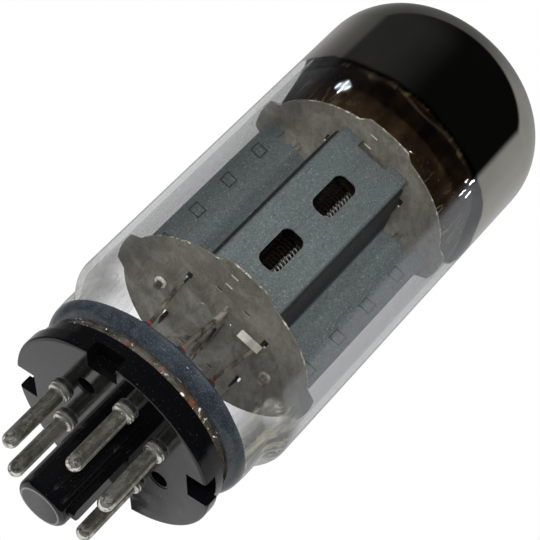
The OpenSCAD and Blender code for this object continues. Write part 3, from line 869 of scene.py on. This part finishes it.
def make_seals():
    outline = [(0.12, 4.66), (SEAL_R - 0.1, 4.7), (SEAL_R, 4.8)]
    outline += [(SEAL_R, 9.6), (SEAL_R - 0.06, 9.78), (0.12, 9.84)]
    parts = repeated(turned(outline, 20), seal_places())
    fitted(joined(parts), "red_seals", ["lead_seals"], "seal_red")


# Plug
def is_outer_wall(face):
    """Whether a face of the base belongs to its outer wall."""
    out = Vector((face.center.x, face.center.y, 0))
    return out.length > PLUG_WALL_R * MM and face.normal.dot(out.normalized()) > 0.8


def make_base():
    piece = carried("base", "moulded_base", "base_plastic", 0.12, 3, 40)
    flattened(piece)
    refaced(piece, base_wall, is_outer_wall)


def make_pins():
    """Each pin has a shank in the base, a collar with a round lip under it, and a rounded end."""
    outline = [(SHANK_R - 0.06, 3.2), (SHANK_R, 3.14), (SHANK_R, 0.1)]
    outline += [(COLLAR_R - 0.06, 0.1), (COLLAR_R, 0.04), (COLLAR_R, -0.28)]
    outline += [(COLLAR_R - 0.05, -0.35), (COLLAR_R - 0.16, -0.36)]
    outline += arc(1.34, -0.62, 0.27, 70, -90, 8)
    outline += [(PIN_R + 0.07, -0.92), (PIN_R, -1.05), (PIN_R, -9.6)]
    outline += arc(0, -9.92, PIN_R, 0, -84, 9)
    places = [pin_place(n) for n in PIN_NUMBERS]
    for n, copy in zip(PIN_NUMBERS, repeated(turned(outline, 40), places)):
        fitted(copy, f"plated_pin_{n}", [f"pin_{n}"], "pin_metal", 50)


def pin_place(n):
    """Place and turn of a pin, counted from the key."""
    turn = 22.5 + 45 * (n - 1)
    a = math.radians(turn)
    return (PIN_RING * math.cos(a), PIN_RING * math.sin(a), 0, turn)


# Cage
def winding_loop(half_v, half_u):
    """One flattened turn round a pair of side rods."""
    points = []
    for k in range(48):
        a = 2 * math.pi * k / 48
        c, s = math.cos(a), math.sin(a)
        points.append(cage(half_u * math.copysign(abs(s) ** 0.62, s), half_v * c))
    return wire_ring(points, WIRE_R)


def make_winding(node, name, half_v, half_u):
    places = [(0, 0, WINDING_LOW + WINDING_STEP * k, 0) for k in range(WINDING_TURNS)]
    copies = repeated(winding_loop(half_v, half_u), places)
    fitted(joined(copies), name, [node], "grid_wire", 60)


def make_rods(node, name, slot, half_v, r):
    outline = [(r - 0.1, ROD_LOW), (r, ROD_LOW + 0.1), (r, ROD_HIGH - 0.1), (r - 0.1, ROD_HIGH)]
    places = [(*cage(0, side * half_v), 0, 0) for side in (-1, 1)]
    parts = repeated(turned(outline, 24), places)
    made = fitted(joined(parts), name, [node], slot)
    made.data.materials[0] = rod_dark_between_micas


def make_cage():
    for side in ("front", "back"):
        flattened(carried(f"anode_{side}", f"{side}_anode", "anode_sheet", 0.05, 2, 40))
    for side in ("lower", "upper"):
        disc = carried(f"mica_{side}", f"{side}_mica", "mica", 0.04, 1, 30)
        refaced(disc, mica_rim, lambda face: abs(face.normal.z) < 0.9)
    for side in ("front", "back"):
        carried(f"beam_plate_{side}", f"{side}_beam_plate", "dark_sheet", 0.04, 1, 40)
    carried("weld_strap", "welded_strap", "nickel_bright", 0.03)
    carried("rod_eyelets", "eyelets", "nickel_bright", 0.1, 3)
    carried("anode_rods", "support_rods", "nickel_wire", 0.1)
    carried("cathode_sleeve", "white_sleeve", "cathode_white")
    carried("heater", "heater_wire", "cathode_white", smooth=60)
    carried("lead_wires", "nickel_leads", "nickel_wire", smooth=60)
    carried("pin_wires", "copper_leads", "copper_wire", smooth=60)
    carried("getter_ring", "flashed_ring", "getter_metal", smooth=60)
    carried("getter_post", "getter_stand", "getter_metal", smooth=60)
    make_rods("screen_rods", "screen_side_rods", "nickel_wire", 7.0, 0.45)
    make_rods("control_rods", "control_side_rods", "copper_rod", 5.3, 0.4)
    make_winding("screen_winding", "screen_wire", 7.52, 2.77)
    make_winding("control_winding", "control_wire", 5.77, 1.57)


make_bulb()
make_mirror()
make_stem()
make_seals()
make_base()
make_pins()
make_cage()


# Floor, room and lamps, in metres
FLOOR_R = 0.6
FLOOR_Z = -14.1 * MM
PROP_WAY = Vector((-0.396, 0.836, -0.379))
STAR_SIZE = 0.004
STAR_REACH = 0.6


def make_floor():
    """A disc under the valve that only the camera sees; it fades outwards and from below."""
    bpy.ops.object.select_all(action="DESELECT")
    bpy.ops.mesh.primitive_circle_add(
        vertices=96, radius=FLOOR_R, fill_type="NGON", location=(0, 0, FLOOR_Z)
    )
    floor = bpy.context.object
    floor.name = "floor"
    only(floor)
    bpy.ops.object.transform_apply(location=True, rotation=True, scale=True)
    f = paint("pale_floor")
    under = f.value("NewGeometry", output="Backfacing")
    clear = (f.radius().ease(60, 300) + under).least(1.0)
    card = f.principled(Base_Color=rgb(0.93, 0.93, 0.93), Roughness=0.9)
    card.inputs["Specular IOR Level"].default_value = 0.0
    gone = f.node("BsdfTransparent")
    blend = f.node("MixShader", {}, {0: clear, 1: card.outputs[0], 2: gone.outputs[0]})
    floor.data.materials.append(f.show(blend))
    floor.visible_glossy = False
    floor.visible_diffuse = False
    floor.visible_transmission = False
    floor.visible_shadow = False


def make_room():
    """A pale room.

    In gloss its half behind the camera is dark, its left side is greyer, and its bright table
    has a small dark prop.
    """
    room = bpy.data.worlds.new("room")
    scene.world = room
    f = Finish(room)
    way = f.node("TexCoord").outputs["Generated"]

    def along(direction):
        return f.value("VectorMath", {"operation": "DOT_PRODUCT"}, {0: way, 1: direction}, "Value")

    def ray(kind):
        return f.value("LightPath", output=f"Is {kind} Ray")

    ahead = Vector((FORWARD.x, FORWARD.y, 0)).normalized()
    aside = Vector((ahead.y, -ahead.x, 0))
    up = along(Vector((0, 0, 1)))
    right = along(aside)
    far_half = (along(ahead + aside * 0.176) + (up - 0.5).most(0) * 0.3).ease(-0.01, 0.12)
    wall = right.ease(-0.85, -0.35, 0.12, 0.44) + right.ease(-0.1, 0.4) * 0.12
    ceiling = up.ease(0.5, 0.85) * right.ease(-0.2, 0.5, 0.7, 0.2)
    wall = (wall - right.ease(0.7, 0.87) * 0.12) * (1 - ceiling)
    prop = along(PROP_WAY.normalized()).ease(0.9995, 0.99988)
    table = up.ease(-0.42, -0.38, 0.68, 0.85) * (1 - prop)
    low = up.ease(-0.12, -0.42)
    near_half = (1 - far_half) * right.ease(-0.15, -0.75) * up.ease(-0.1, 0.5) * 0.035
    shine = far_half * (low * table + (1 - low) * wall) + near_half + 0.006
    glow = along((-RIGHT - DOWN - FORWARD * 0.7).normalized()).ease(-0.8, 0.9, 0.08, 0.52)
    seen = ray("Camera").most(ray("Transmission"))
    gloss = ray("Glossy")
    strength = seen + (1 - seen) * (gloss * shine + (1 - gloss) * glow)
    light = f.node("Background", {}, {"Color": rgb(1, 1, 1), "Strength": strength})
    f.show(light, "OutputWorld")


def lamp(name, right, up, back, size, power, shines=True):
    """An area lamp, placed in metres from the valve along the picture's own directions."""
    light = bpy.data.lights.new(name, "AREA")
    light.shape = "DISK"
    light.size = size
    light.energy = power
    piece = bpy.data.objects.new(name, light)
    place = VALVE_CENTRE + RIGHT * right - DOWN * up - FORWARD * back
    piece.location = place
    piece.rotation_mode = "QUATERNION"
    piece.rotation_quaternion = (VALVE_CENTRE - place).to_track_quat("-Z", "Y")
    piece.visible_camera = False
    piece.visible_glossy = shines
    scene.collection.objects.link(piece)


def star(name, spot, way, power):
    """A small lamp, far off in a direction from a spot of the bulb that is in millimetres."""
    place = Vector(spot) * MM + Vector(way) * STAR_REACH - VALVE_CENTRE
    back = -place.dot(FORWARD)
    lamp(name, place.dot(RIGHT), -place.dot(DOWN), back, STAR_SIZE, power)


make_floor()
make_room()
lamp("key", 0.02, 0.08, 0.55, 0.20, 2.05, False)
lamp("fill", -0.40, 0.20, 0.30, 0.22, 0.6, False)
lamp("fill_right", 0.40, 0.04, 0.38, 0.22, 1.2, False)
lamp("star_neck", -0.12, 0.10, 0.52, STAR_SIZE, 0.05)
lamp("star_neck_right", 0.14, 0.05, 0.5, STAR_SIZE, 0.04)
star("star_dome", (-2.9, -18.2, 60.2), (-0.596, -0.55, 0.585), 0.02)
star("star_dome_left", (-3.6, -18.1, 59.0), (-0.642, -0.50, 0.581), 0.012)
star("star_dome_right", (16.8, -7.6, 67.2), (0.770, 0.244, 0.590), 0.010)
star("star_dome_low", (17.2, -6.6, 65.2), (0.739, 0.336, 0.584), 0.006)
